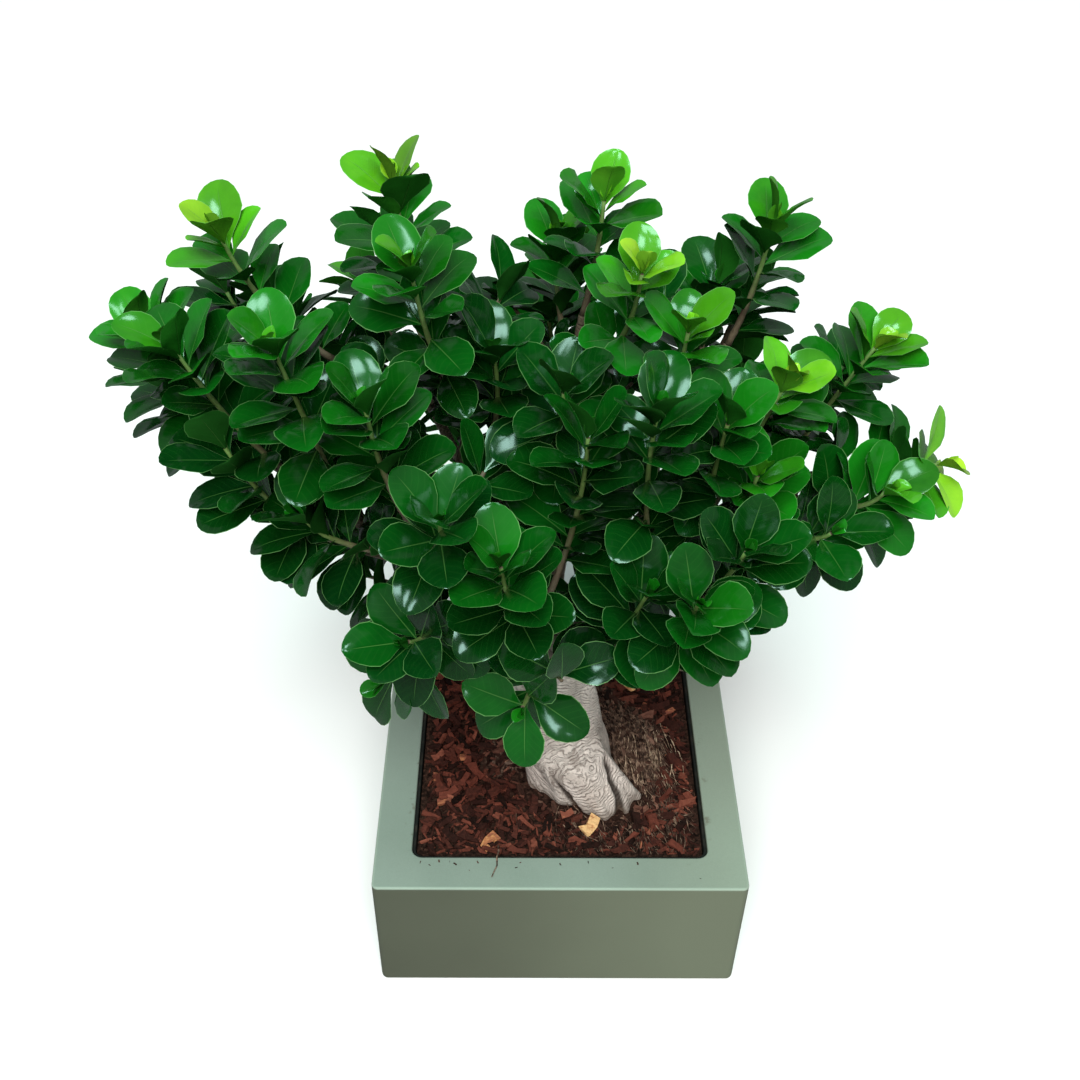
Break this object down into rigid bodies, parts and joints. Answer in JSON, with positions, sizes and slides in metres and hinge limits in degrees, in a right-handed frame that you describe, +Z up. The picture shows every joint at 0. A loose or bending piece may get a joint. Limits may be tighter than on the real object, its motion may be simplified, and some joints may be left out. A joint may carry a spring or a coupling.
{
  "type": "potted ginseng ficus bonsai",
  "caption": "Ginseng ficus with a swollen pale trunk, spreading limbs and glossy obovate leaves, in bark soil inside a black insert in a square matt sage-green planter.",
  "frame": {"origin": "middle of the pot's flat underside", "axes": "+Z up, -Y towards the front of the planter, +X to its right as seen from the front"},
  "size_m": [0.559, 0.4125, 0.6284],
  "materials": {
    "pot": "matt sage-green glaze, faintly mottled, paler along the edges",
    "insert": "black moulded plastic, matt",
    "bark_soil": "loose red-brown bark chips, fibre and root hair, rough",
    "bark": "pale grey-tan bark with fine dark wrinkles, rough",
    "leaf": "glossy deep-green leaf with a pale midrib and margin, lime where young"
  },
  "bodies": {
    "root": {"liner": "insert", "pot": "pot", "shoot_back_end": "leaf", "shoot_back_high": "leaf", "shoot_back_left_end": "leaf", "shoot_back_left_low": "leaf", "shoot_back_left_side": "leaf", "shoot_back_low": "leaf", "shoot_back_right_end": "leaf", "shoot_back_right_high": "leaf", "shoot_back_right_side": "leaf", "shoot_centre_mid": "leaf", "shoot_crown": "leaf", "shoot_crown_back": "leaf", "shoot_crown_front": "leaf", "shoot_crown_inner": "leaf", "shoot_crown_left": "leaf", "shoot_crown_left_back": "leaf", "shoot_crown_left_front": "leaf", "shoot_far_left": "leaf", "shoot_far_right": "leaf", "shoot_front_centre": "leaf", "shoot_front_left_hang": "leaf", "shoot_front_left_low": "leaf", "shoot_front_left_mid": "leaf", "shoot_front_left_side": "leaf", "shoot_front_left_top": "leaf", "shoot_front_low": "leaf", "shoot_front_right_low": "leaf", "shoot_front_right_mid": "leaf", "shoot_front_right_side": "leaf", "shoot_front_right_top": "leaf", "shoot_front_rosette": "leaf", "shoot_left_back": "leaf", "shoot_left_low": "leaf", "shoot_left_mid": "leaf", "shoot_left_near": "leaf", "shoot_left_rosette": "leaf", "shoot_left_top": "leaf", "shoot_left_under": "leaf", "shoot_right_back_top": "leaf", "shoot_right_bright": "leaf", "shoot_right_front": "leaf", "shoot_right_hang": "leaf", "shoot_right_high": "leaf", "shoot_right_inner_high": "leaf", "shoot_right_mid": "leaf", "shoot_right_small": "leaf", "shoot_right_top": "leaf", "shoot_right_top_inner": "leaf", "soil": "bark_soil", "trunk": "bark"}
  },
  "joints": []
}
